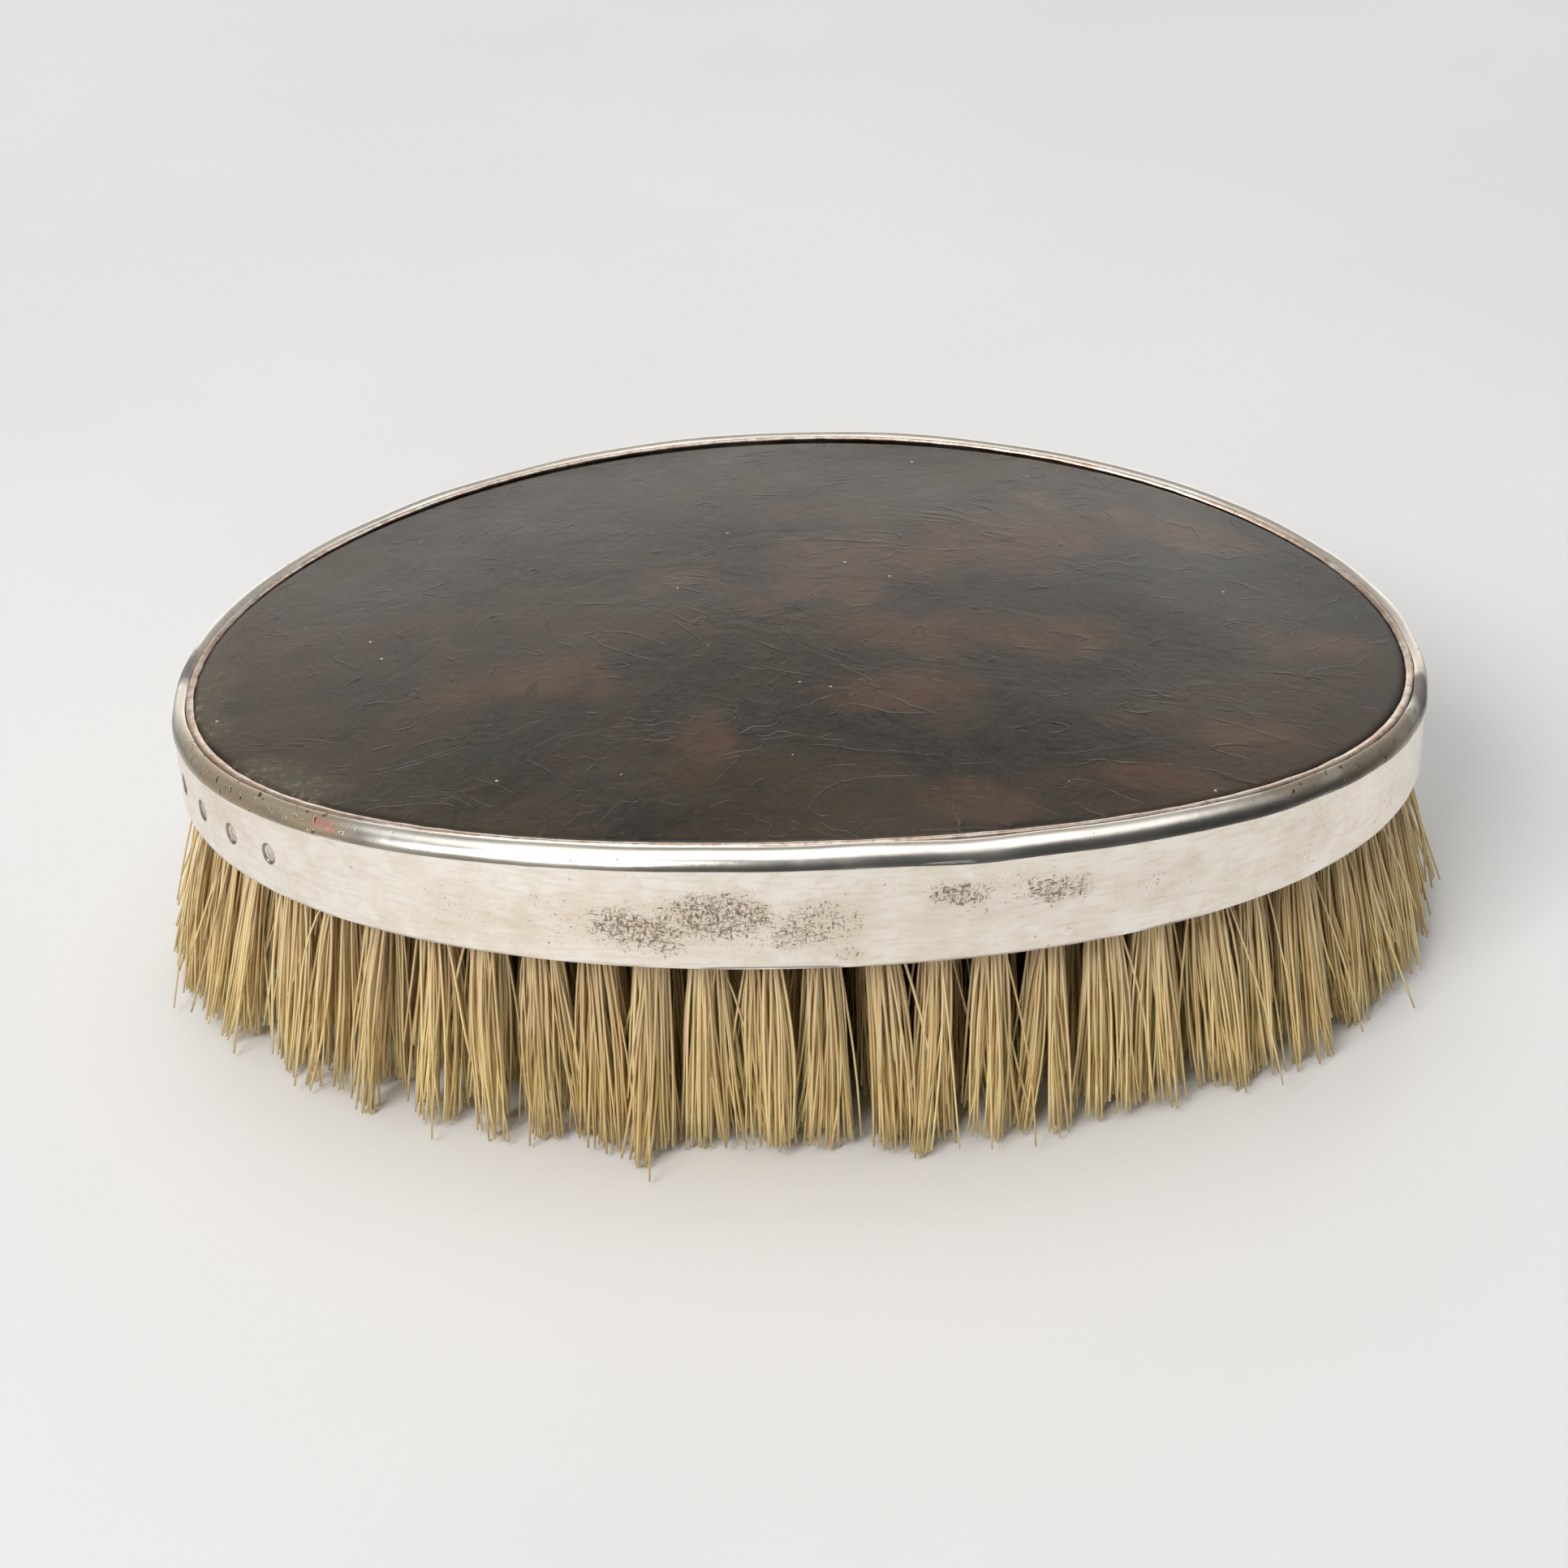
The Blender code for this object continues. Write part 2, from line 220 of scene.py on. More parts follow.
class Nodes:
    """Short ways to build a node tree that works from one place vector."""

    def __init__(self, tree, place):
        self.tree = tree
        self.place = tree.nodes.new("ShaderNodeTexCoord").outputs[place]

    def feed(self, socket, value):
        if isinstance(value, bpy.types.NodeSocket):
            self.tree.links.new(value, socket)
        elif isinstance(value, tuple) and len(value) == 3 and len(socket.default_value) == 4:
            socket.default_value = (*value, 1.0)
        else:
            socket.default_value = value

    def node(self, kind, inputs, **settings):
        """A new node with these settings, and with its inputs linked or set."""
        node = self.tree.nodes.new("ShaderNode" + kind)
        for name, value in settings.items():
            setattr(node, name, value)
        for socket, value in inputs.items():
            self.feed(node.inputs[socket], value)
        return node

    def scaled(self, scale, turn=(0, 0, 0)):
        return self.node("Mapping", {"Vector": self.place, "Scale": scale, "Rotation": turn}).outputs[0]

    def noise(self, scale, detail=3.0, roughness=0.5, distortion=0.0, vector=None):
        inputs = {"Vector": vector or self.place, "Scale": scale, "Detail": detail,
                  "Roughness": roughness, "Distortion": distortion}
        return self.node("TexNoise", inputs).outputs["Fac"]

    def cells(self, scale):
        """Distance to the nearest of many scattered points, in cells."""
        return self.node("TexVoronoi", {"Vector": self.place, "Scale": scale}).outputs["Distance"]

    def span(self, value, low, high, out_low=0.0, out_high=1.0):
        """Map low..high to out_low..out_high, softly and clamped."""
        inputs = {"Value": value, "From Min": low, "From Max": high, "To Min": out_low, "To Max": out_high}
        return self.node("MapRange", inputs, interpolation_type="SMOOTHSTEP").outputs["Result"]

    def maths(self, operation, first, second=0.0):
        return self.node("Math", {0: first, 1: second}, operation=operation).outputs[0]

    def fold(self, operation, values):
        total, *rest = values
        for value in rest:
            total = self.maths(operation, total, value)
        return total

    def sum(self, *values):
        return self.fold("ADD", values)

    def times(self, *values):
        return self.fold("MULTIPLY", values)

    def most(self, *values):
        return self.fold("MAXIMUM", values)

    def mix(self, share, first, second):
        return self.node("Mix", {"Factor": share, 6: first, 7: second}, data_type="RGBA").outputs[2]

    def over(self, colour, tint, cover, strength):
        """The colour with a tint laid over it, at most this strongly, where cover is 1."""
        return self.mix(self.times(cover, strength), colour, tint)

    def axis(self, name):
        return self.node("SeparateXYZ", {0: self.place}).outputs[name]


class Paint(Nodes):
    """One material, painted in metres of the brush's own frame."""

    def __init__(self, name):
        self.material = bpy.data.materials.new(name)
        self.material.use_nodes = True
        super().__init__(self.material.node_tree, "Object")
        self.shader = self.tree.nodes["Principled BSDF"]

    def set(self, **inputs):
        for name, value in inputs.items():
            self.feed(self.shader.inputs[name.replace("_", " ")], value)

    def reach_from(self, centre, reach):
        """Distance from a centre, where the reach along each axis counts as 1."""
        shifted = self.node("VectorMath", {0: self.place, 1: centre}, operation="SUBTRACT")
        scaled = self.node("VectorMath", {0: shifted.outputs[0], 1: reach}, operation="DIVIDE")
        return self.node("VectorMath", {0: scaled.outputs[0]}, operation="LENGTH").outputs["Value"]

    def patch(self, centre, reach, raggedness, grain):
        """A soft-edged, ragged spot round a centre, 1 inside and 0 outside."""
        uneven = self.times(self.noise(grain, 4.0), raggedness * 2)
        ragged = self.sum(self.reach_from(centre, reach), uneven)
        return self.span(self.maths("SUBTRACT", ragged, raggedness), 1.1, 0.4)

    def bump(self, height, distance, normal=None, strength=1.0):
        inputs = {"Height": height, "Distance": distance, "Strength": strength}
        if normal is not None:
            inputs["Normal"] = normal
        return self.node("Bump", inputs).outputs[0]


def wall_point(angle_degrees, height):
    """A point on the band's outer face."""
    x, y = edge_points(np.array([math.radians(angle_degrees)]))
    return (float(x[0]), float(y[0]), height)


def wall_patch(paint, angle, height, reach, raggedness=0.5, grain=260.0):
    """A ragged patch on the silver, at an angle in degrees, with its height and its reach in mm."""
    centre = wall_point(angle, height * MM)
    return paint.patch(centre, tuple(length * MM for length in reach), raggedness, grain)


PUNCH_COUNT = 5
PUNCH_FIRST_ANGLE = math.radians(216.7)
PUNCH_SPACING = 5.5 * MM
PUNCH_HEIGHT = 27.2 * MM
PUNCH_DROP = 0.35 * MM
PUNCH_HALF_WIDTH = 0.78 * MM
PUNCH_HALF_HEIGHT = 1.05 * MM
PUNCH_DEPTH = 0.30 * MM


def punches():
    """Plain oval dimples in a row round the left end: angle in radians and height of each."""
    angles = np.linspace(math.pi / 2, PUNCH_FIRST_ANGLE, 2000)
    arc = arc_positions(angles)
    places = []
    for number in range(PUNCH_COUNT):
        angle = np.interp(arc[-1] - number * PUNCH_SPACING, arc, angles)
        places.append((float(angle), PUNCH_HEIGHT - number * PUNCH_DROP))
    return places


def silver_base(paint, warmth):
    """Worn polished silver: warm clouds of firescale, a web of fine scratches and small pits."""
    clouds = paint.span(paint.noise(70.0, 4.0, 0.6, 0.4), 0.40, 0.66)
    white = paint.mix(paint.times(clouds, warmth), (0.95, 0.90, 0.83), (0.88, 0.78, 0.67))
    along = paint.noise(900.0, 3.0, 0.6, 0.0, paint.scaled((0.12, 0.12, 1.6)))
    slanted = paint.noise(700.0, 3.0, 0.6, 0.0, paint.scaled((1.2, 0.14, 0.5), (0.4, 0.9, 0.3)))
    scratches = paint.sum(along, slanted)
    pits = paint.span(paint.cells(900.0), 0.16, 0.05)
    sparse = paint.span(paint.noise(160.0, 2.0), 0.55, 0.66)
    pits = paint.times(pits, sparse)
    return white, scratches, pits


def band_silver():
    """The band: satin silver with brown dirt caught in fine strokes where polish has missed it."""
    paint = Paint("silver_band")
    colour, scratches, pits = silver_base(paint, 0.6)

    def smudge(angle, height, along, up):
        return wall_patch(paint, angle, height, (along, 3.0, up))

    heavy = paint.most(
        smudge(256.5, 28.0, 6.0, 3.2), smudge(263.5, 29.8, 8.0, 3.0), smudge(270.5, 28.8, 6.5, 3.8),
        smudge(282.0, 31.0, 3.4, 2.2), smudge(291.0, 30.2, 4.6, 2.2), smudge(273.0, 25.6, 2.0, 1.2),
    )
    light = paint.most(
        smudge(260.0, 28.8, 14.0, 4.6), smudge(248.0, 28.3, 8.0, 3.6),
        smudge(286.0, 30.2, 10.0, 3.4), smudge(300.0, 29.0, 8.0, 3.4),
        smudge(318.0, 27.8, 9.0, 4.5), smudge(240.0, 27.5, 8.0, 4.0), smudge(206.0, 28.5, 9.0, 3.0),
        smudge(60.0, 29.0, 13.0, 4.0), smudge(95.0, 28.0, 11.0, 4.0), smudge(131.0, 27.5, 12.0, 4.0),
        smudge(4.0, 26.5, 3.0, 3.0),
    )
    strokes = paint.most(
        paint.noise(4600.0, 3.0, 0.70, 0.6, paint.scaled((0.34, 0.34, 1.0), (0.0, 0.55, 0.0))),
        paint.noise(4200.0, 3.0, 0.70, 0.6, paint.scaled((1.0, 1.0, 0.40), (0.0, 0.30, 0.0))),
    )
    # Strokes show as dirt where the level is high, which more of them reach inside a smudge
    level = paint.sum(strokes, paint.times(heavy, 0.130), paint.times(light, 0.065))
    dirt = paint.times(paint.span(level, 0.69, 0.80), 0.85)
    dark = paint.most(dirt, paint.times(pits, 0.7))
    mottle = paint.span(paint.noise(330.0, 5.0, 0.65, 0.8), 0.44, 0.64)
    colour = paint.over(colour, (0.84, 0.755, 0.62), mottle, 0.60)
    slanted = paint.noise(2400.0, 3.0, 0.6, 0.0, paint.scaled((0.16, 0.16, 1.0), (0.0, 0.7, 0.0)))
    brushed = paint.span(slanted, 0.46, 0.66)
    colour = paint.over(colour, (0.72, 0.64, 0.52), brushed, 0.36)
    stain = paint.times(paint.most(heavy, paint.times(light, 0.6)), 0.50)
    colour = paint.mix(stain, colour, (0.76, 0.63, 0.49))
    colour = paint.mix(dark, colour, (0.20, 0.145, 0.095))
    # Each dimple gets a darker outline, and painted shade in the right half of its bowl
    for angle, height in punches():
        centre = wall_point(math.degrees(angle), height)
        distance = paint.reach_from(centre, (PUNCH_HALF_WIDTH, PUNCH_HALF_WIDTH, PUNCH_HALF_HEIGHT))
        ring = paint.times(paint.span(distance, 0.78, 0.95), paint.span(distance, 1.16, 1.02))
        painted_shade_side = paint.span(paint.axis("X"), centre[0] - 0.2 * MM, centre[0] + 0.5 * MM)
        bowl = paint.times(paint.span(distance, 0.9, 0.7), painted_shade_side, 0.50)
        colour = paint.over(colour, (0.22, 0.17, 0.13), ring, 0.85)
        colour = paint.mix(bowl, colour, (0.34, 0.29, 0.24))
    rough = paint.span(paint.noise(45.0, 4.0, 0.6), 0.3, 0.7, 0.24, 0.36)
    rough = paint.sum(rough, paint.times(dark, 0.30))
    fine = paint.bump(scratches, 0.000012, strength=0.55)
    dents = paint.bump(paint.noise(95.0, 5.0, 0.55, 0.3), 0.00022, fine, 0.42)
    paint.set(Base_Color=colour, Metallic=1.0, Roughness=rough, Normal=paint.bump(dark, -0.00002, dents))
    return paint.material


def bead_silver():
    paint = Paint("silver_bead")
    colour, scratches, pits = silver_base(paint, 0.6)
    # Tarnish tints that also paint in reflections: tan on the left for the beige room, brown at the front
    # right for the dark room, near black at the two ends for their dark reflections
    tan = paint.most(
        wall_patch(paint, 206, 33.0, (13.0, 12.0, 4.0)),
        wall_patch(paint, 222, 34.0, (9.0, 7.0, 3.0)),
    )
    brown = paint.most(
        wall_patch(paint, 333, 33.0, (12.0, 12.0, 3.2)),
        wall_patch(paint, 318, 34.0, (10.0, 8.0, 2.4)),
    )
    black = paint.most(
        wall_patch(paint, 176, 31.0, (3.0, 4.5, 3.0), grain=500.0),
        wall_patch(paint, 348, 31.2, (3.5, 5.0, 1.6), grain=500.0),
    )
    # Painted dark reflection: the lower part of the moulding, measured along its arched crown, is darkened to
    # stand in for the dark room it reflects in front
    bow = paint.times(paint.maths("POWER", paint.maths("ABSOLUTE", paint.axis("X")), 2.0),
                      TOP_ARCH / HALF_LENGTH ** 2)
    ragged = paint.times(paint.noise(300.0, 4.0), 0.5 * MM)
    level = paint.sum(paint.axis("Z"), bow, ragged)
    foot = paint.span(level, TOP_HEIGHT - 0.22 * MM, TOP_HEIGHT - 0.85 * MM)
    pink = wall_patch(paint, 225.5, 33.2, (2.0, 2.0, 0.55), 0.6, 900.0)
    freckles = paint.times(paint.most(tan, brown), paint.span(paint.noise(1500.0, 3.0, 0.6), 0.58, 0.68))
    colour = paint.over(colour, (0.31, 0.31, 0.29), foot, 0.70)
    colour = paint.over(colour, (0.52, 0.42, 0.27), tan, 0.80)
    colour = paint.over(colour, (0.27, 0.215, 0.155), brown, 0.82)
    colour = paint.over(colour, (0.10, 0.095, 0.09), black, 0.8)
    colour = paint.over(colour, (0.80, 0.40, 0.32), pink, 0.8)
    dark = paint.most(freckles, paint.times(pits, 0.8))
    colour = paint.mix(dark, colour, (0.12, 0.09, 0.07))
    rough = paint.span(paint.noise(60.0, 4.0, 0.6), 0.35, 0.7, 0.20, 0.32)
    rough = paint.sum(rough, paint.times(paint.most(tan, brown, black), 0.14))
    fine = paint.bump(scratches, 0.000010, strength=0.60)
    knocks = paint.bump(paint.noise(240.0, 4.0, 0.55), 0.00010, fine, 0.35)
    paint.set(Base_Color=colour, Metallic=1.0, Roughness=rough, Normal=paint.bump(dark, -0.00003, knocks))
    return paint.material


def bezel_silver():
    """The burnished strip: pinkish, copper showing through, speckled with grime."""
    paint = Paint("silver_bezel")
    colour, scratches, _ = silver_base(paint, 0.9)
    coppery = paint.span(paint.noise(300.0, 4.0, 0.6), 0.38, 0.62)
    colour = paint.over(colour, (0.76, 0.54, 0.42), coppery, 0.80)
    grime = paint.span(paint.noise(1300.0, 4.0, 0.7), 0.46, 0.64)
    colour = paint.mix(0.30, colour, (0.42, 0.31, 0.24))
    colour = paint.over(colour, (0.24, 0.17, 0.12), grime, 0.50)
    rough = paint.span(paint.noise(200.0, 3.0), 0.3, 0.7, 0.26, 0.42)
    hammered = paint.bump(paint.noise(700.0, 2.0, 0.5), 0.00006, strength=0.35)
    paint.set(Base_Color=colour, Metallic=1.0, Roughness=rough,
              Normal=paint.bump(scratches, 0.000008, hammered, 0.5))
    return paint.material


def pin_silver():
    paint = Paint("silver_pin")
    colour, scratches, _ = silver_base(paint, 0.6)
    rough = paint.span(paint.noise(600.0, 3.0), 0.3, 0.7, 0.24, 0.36)
    paint.set(Base_Color=colour, Metallic=1.0, Roughness=rough,
              Normal=paint.bump(scratches, 0.00001, strength=0.5))
    return paint.material


CRACK_X = 12.9 * MM
CRACK_START_Y = -29.6 * MM


def tortoiseshell():
    """Near-black shell with soft red-brown and olive clouds, growth lines, fine scratches and a crack."""
    paint = Paint("tortoiseshell")
    mottle = paint.noise(46.0, 6.0, 0.62, 0.7)
    flecks = paint.noise(170.0, 5.0, 0.65, 1.0)
    ground = paint.mix(paint.span(mottle, 0.36, 0.64), (0.0095, 0.0062, 0.0034), (0.038, 0.0250, 0.0120))
    olive = paint.noise(30.0, 5.0, 0.6, 1.3, paint.scaled((1.0, 1.3, 1.0), (0, 0, 1.1)))
    olive = paint.span(olive, 0.50, 0.66)
    ground = paint.over(ground, (0.0215, 0.0220, 0.0135), olive, 0.65)
    reddish = paint.noise(24.0, 5.0, 0.6, 1.0, paint.scaled((0.8, 1.5, 1.0), (0, 0, 2.0)))
    reddish = paint.span(reddish, 0.45, 0.63)
    ground = paint.over(ground, (0.050, 0.0260, 0.0130), reddish, 0.60)

    def spot(x, y, reach_x, reach_y, raggedness=1.25, grain=115.0):
        centre = (x * MM, y * MM, float(shell_height(x * MM, y * MM)))
        return paint.patch(centre, (reach_x * MM, reach_y * MM, 9 * MM), raggedness, grain)

    amber = paint.most(
        spot(-8.6, -22.0, 4.4, 5.4), spot(49.0, -2.0, 8.0, 5.0), spot(41.5, -19.0, 6.0, 3.0),
        spot(31.0, -26.5, 6.5, 2.4), spot(15.5, -31.0, 5.0, 3.4), spot(8.4, -14.0, 9.0, 5.0),
        spot(26.0, 16.0, 15.0, 9.0), spot(2.0, 10.0, 14.0, 10.0),
        spot(-24.0, -10.0, 9.0, 4.0), spot(18.0, -4.0, 16.0, 5.0), spot(40.0, 17.0, 9.0, 4.0),
    )
    amber = paint.times(amber, paint.span(flecks, 0.26, 0.64, 0.30, 1.0))
    colour = paint.mix(paint.times(amber, 0.62), ground, (0.110, 0.0500, 0.0235))
    lines = paint.noise(24.0, 3.0, 0.5, 1.8, paint.scaled((1.0, 2.2, 1.0), (0, 0, 0.35)))
    growth = paint.span(paint.maths("PINGPONG", paint.times(lines, 11.0), 0.5), 0.0, 0.07, 1.0, 0.0)
    growth = paint.times(growth, paint.span(flecks, 0.42, 0.60))
    colour = paint.over(colour, (0.012, 0.009, 0.007), growth, 0.60)

    jagged = paint.times(paint.maths("SUBTRACT", paint.noise(420.0, 3.0, 0.6), 0.5), 1.6 * MM)
    from_crack = paint.maths("SUBTRACT", paint.sum(paint.axis("X"), jagged), CRACK_X)
    line = paint.span(paint.maths("ABSOLUTE", from_crack), 0.11 * MM, 0.02 * MM)
    crack = paint.times(line, paint.span(paint.axis("Y"), CRACK_START_Y, CRACK_START_Y - 0.8 * MM))
    colour = paint.over(colour, (0.15, 0.085, 0.055), crack, 0.7)

    def across(name, half):
        share = paint.maths("DIVIDE", paint.axis(name), half - BEZEL_INNER_INSET)
        return paint.maths("POWER", paint.maths("ABSOLUTE", share), OVAL_POWER)

    # The oval reaches 1 at about the bezel's inner edge
    oval = paint.sum(across("X", HALF_LENGTH), across("Y", HALF_WIDTH))
    # Painted shadow: a near-black line round the shell where it meets the bezel's inner edge
    groove = paint.span(oval, 0.972, 0.990)
    colour = paint.mix(groove, colour, (0.006, 0.005, 0.004))
    grain = paint.span(paint.noise(1400.0, 4.0, 0.7), 0.36, 0.66)
    colour = paint.over(colour, (0.075, 0.058, 0.040), grain, 0.20)

    edge_grime = paint.most(
        paint.patch((-57.0 * MM, -4.0 * MM, 31.5 * MM), (4.5 * MM, 14.0 * MM, 6 * MM), 0.8, 200.0),
        paint.patch((-48.0 * MM, -20.5 * MM, 32.5 * MM), (12.0 * MM, 5.5 * MM, 6 * MM), 0.8, 200.0),
    )
    speckled = paint.span(paint.noise(1100.0, 5.0, 0.75), 0.50, 0.66)
    beside_rim = paint.span(oval, 0.78, 0.95)
    residue = paint.times(edge_grime, beside_rim, paint.sum(paint.times(speckled, 0.65), 0.2))
    colour = paint.over(colour, (0.20, 0.175, 0.110), residue, 0.90)
    dust = paint.span(paint.cells(420.0), 0.075, 0.045)
    dust = paint.times(dust, paint.span(paint.noise(90.0, 2.0), 0.57, 0.60))
    colour = paint.mix(dust, colour, (0.50, 0.48, 0.44))

    hairlines = paint.noise(260.0, 3.0, 0.6, 0.2, paint.scaled((0.35, 4.5, 1.0), (0, 0, 0.7)))
    cross = paint.noise(260.0, 3.0, 0.6, 0.2, paint.scaled((4.5, 0.35, 1.0), (0, 0, 0.35)))
    scuffs = paint.sum(hairlines, cross)
    rough = paint.span(paint.noise(35.0, 5.0, 0.65), 0.3, 0.7, 0.20, 0.36)
    rough = paint.sum(rough, paint.times(paint.most(residue, dust, groove), 0.40))
    fine = paint.bump(paint.sum(scuffs, paint.times(grain, 0.6)), 0.000012, strength=0.45)
    soft = paint.bump(paint.noise(190.0, 6.0, 0.62, 0.9), 0.00016, fine, 0.42)
    grown = paint.bump(paint.maths("SUBTRACT", growth, paint.times(crack, 3.0)), 0.000018, soft)
    paint.set(Base_Color=colour, Roughness=rough, Normal=grown, IOR=1.50)
    return paint.material


def bristle_hair():
    """Boar bristle: greyer at the root, yellower to the tip, each hair a little different."""
    paint = Paint("boar_bristle")
    node = paint.tree.nodes.new("ShaderNodeAttribute")
    node.attribute_name = "shade"
    shade = node.outputs["Fac"]
    height = paint.axis("Z")
    dull = paint.mix(shade, (0.56, 0.385, 0.175), (0.94, 0.755, 0.43))
    golden = paint.mix(shade, (0.64, 0.44, 0.16), (0.97, 0.79, 0.38))
    colour = paint.mix(paint.span(height, 21.0 * MM, 5.0 * MM), dull, golden)
    rooty = paint.span(height, 17.5 * MM, 24.5 * MM)
    colour = paint.over(colour, (0.62, 0.42, 0.26), rooty, 0.40)
    streak = paint.span(paint.noise(1500.0, 2.0, 0.5, 0.0, paint.scaled((1.0, 1.0, 0.06))), 0.40, 0.62)
    colour = paint.over(colour, (0.98, 0.90, 0.64), streak, 0.20)
    rough = paint.span(streak, 0.0, 1.0, 0.36, 0.22)
    paint.set(Base_Color=colour, Roughness=rough)
    return paint.material


def stock_wood():
    paint = Paint("stock_wood")
    rings = paint.noise(120.0, 4.0, 0.6, 0.8, paint.scaled((0.12, 1.4, 1.4)))
    pores = paint.span(paint.noise(900.0, 3.0, 0.6, 0.0, paint.scaled((0.1, 1.5, 1.5))), 0.56, 0.68)
    colour = paint.mix(paint.span(rings, 0.35, 0.65), (0.20, 0.105, 0.050), (0.36, 0.215, 0.110))
    colour = paint.over(colour, (0.09, 0.045, 0.025), pores, 0.6)
    grain = paint.sum(rings, paint.times(pores, -0.5))
    paint.set(Base_Color=colour, Roughness=paint.span(rings, 0.3, 0.7, 0.5, 0.68),
              Normal=paint.bump(grain, 0.00006, strength=0.5))
    return paint.material


def cement_material():
    paint = Paint("resin_cement")
    lumps = paint.noise(260.0, 5.0, 0.65)
    colour = paint.mix(paint.span(lumps, 0.35, 0.65), (0.10, 0.055, 0.028), (0.24, 0.145, 0.075))
    paint.set(Base_Color=colour, Roughness=paint.span(lumps, 0.3, 0.7, 0.55, 0.85),
              Normal=paint.bump(lumps, 0.0001, strength=0.6))
    return paint.material


# ---------------------------------------------------------------- silver mount

def refined(values, centres, reach, count):
    """Sorted values with count extra ones within reach of each centre."""
    extra = [np.linspace(centre - reach, centre + reach, count) for centre in centres]
    return np.unique(np.round(np.concatenate([values, *extra]), 9))


BAND_EDGE_ROUND = 0.12 * MM
DENT_LENGTH = 20 * MM


def band_mesh():
    """The side band, with its soft dents, struck dimples and eased lower edge."""
    marks = punches()
    angles = refined(full_circle(AROUND), [angle for angle, _ in marks], math.radians(1.9), 30)
    x, _ = edge_points(angles)
    arc = arc_positions(angles)
    top = crown_height(x) - BEAD_DEPTH * 0.9
    low = edge_height(x)
    shares = refined(np.linspace(0, 1, 28), [0.42, 0.58], 0.17, 22)

    def column(inset, height):
        return np.stack([*edge_points(angles, inset), height], axis=1)

    columns = []
    for share in shares:
        height = top + (low - top) * share
        flare = BAND_FLARE * share ** 1.5
        dent = waves(arc / DENT_LENGTH, height / DENT_LENGTH, 0.022 * MM, count=9, low=0.4, high=1.6, seed=3)
        for angle, mark_height in marks:
            centre_arc = np.interp(angle, angles, arc)
            across = (arc - centre_arc) / PUNCH_HALF_WIDTH
            upward = (height - mark_height) / PUNCH_HALF_HEIGHT
            radius = np.hypot(across, upward)
            bowl = -PUNCH_DEPTH * np.clip(1 - radius ** 2, 0, 1) ** 0.5
            mound = PUNCH_DEPTH * 0.5 * np.clip(1 - (radius / 0.62) ** 2, 0, 1)
            lip = PUNCH_DEPTH * 0.16 * bell(radius, 1.10, 0.12)
            dent = dent + bowl + mound + lip
        columns.append(column(BAND_INSET - flare - dent, height))
    for turn in (0.35, 0.8, 1.25):
        inset = BAND_INSET - BAND_FLARE + BAND_EDGE_ROUND * (1 - math.cos(turn))
        columns.append(column(inset, low - BAND_EDGE_ROUND * (math.sin(turn) - 0.3)))
    for share in (0.0, 0.3, 1.0):
        inset = BAND_INSET + BAND_THICKNESS - BAND_FLARE * (1 - share)
        columns.append(column(inset, low + (top - low) * share - BAND_EDGE_ROUND * 0.5 * (share == 0)))
    return ring_mesh("band_silverwork", np.stack(columns, axis=1))


BEAD_FIRST_TURN = math.radians(18)
BEAD_LAST_TURN = math.radians(150)
BEAD_SHADE_TURNS = (math.radians(20), math.radians(116))
# The slack stretch at the front right: a dip and the hump beside it, angles in degrees
SLACK_ANGLE, SLACK_REACH = 283.0, 4.2
HUMP_ANGLE, HUMP_REACH = 274.5, 3.4
SLACK_DROP = 0.26 * MM


def bead_section(steps):
    """The moulding's section, from its foot over its crown to the groove: insets and rises from the crown."""
    share = np.linspace(0, 1, 40 * steps)
    turn = BEAD_FIRST_TURN + (BEAD_LAST_TURN - BEAD_FIRST_TURN) * share ** 2
    inset = np.concatenate([[0], np.cumsum(np.sin(turn))[:-1]])
    rise = np.concatenate([[0], np.cumsum(np.cos(turn))[:-1]])
    kept = np.linspace(0, len(share) - 1, steps).astype(int)
    inset *= BEAD_WIDTH / inset[-1]
    rise *= BEAD_DEPTH / rise.max()
    return inset[kept], rise[kept] - BEAD_DEPTH


def bead_mesh():
    """Slanted moulding with a slack stretch and small knocks.

    Its shading normals are set one by one and turn further than its faces do, so it reflects as a rounder
    moulding than it is.
    """
    angles = full_circle(FINE_AROUND)
    x, _ = edge_points(angles)
    degrees = np.degrees(angles)
    slack = bell(degrees, SLACK_ANGLE, SLACK_REACH) - 0.55 * bell(degrees, HUMP_ANGLE, HUMP_REACH)
    lift = ring_waves(angles, 0.05 * MM, low=3, high=30, seed=11) - SLACK_DROP * slack
    push = ring_waves(angles, 0.035 * MM, low=3, high=40, seed=12)
    arc = arc_positions(np.append(angles, 2 * math.pi))
    step = np.diff(arc)
    lift_slope = (np.roll(lift, -1) - np.roll(lift, 1)) / (2 * step)
    push_slope = (np.roll(push, -1) - np.roll(push, 1)) / (2 * step)
    nx, ny = edge_normals(angles)
    insets, rises = bead_section(34)
    shade_turns = np.linspace(*BEAD_SHADE_TURNS, len(insets))
    columns, normals = [], []
    for inset, rise, turn in zip(insets, rises, shade_turns):
        grain = waves(np.cos(angles) * 30 + turn, np.sin(angles) * 30, 0.006 * MM,
                      count=8, low=0.3, high=1.2, seed=5)
        px, py = edge_points(angles, inset + np.maximum(push, -0.02 * MM) + grain)
        columns.append(np.stack([px, py, crown_height(x) + rise + lift * 0.8], axis=1))
        lean = -math.sin(turn) * lift_slope + math.cos(turn) * push_slope
        normal = np.stack([math.cos(turn) * nx - ny * lean, math.cos(turn) * ny + nx * lean,
                           np.full_like(nx, math.sin(turn))], axis=1)
        normals.append(normal / np.linalg.norm(normal, axis=1)[:, None])
    piece = ring_mesh("rim_moulding", np.stack(columns, axis=1))
    piece.data.normals_split_custom_set_from_vertices(np.stack(normals, axis=1).reshape(-1, 3).tolist())
    return piece


SEAM_INSET = 0.14 * MM
BLOB_ANGLE, BLOB_REACH = 226.0, 2.6


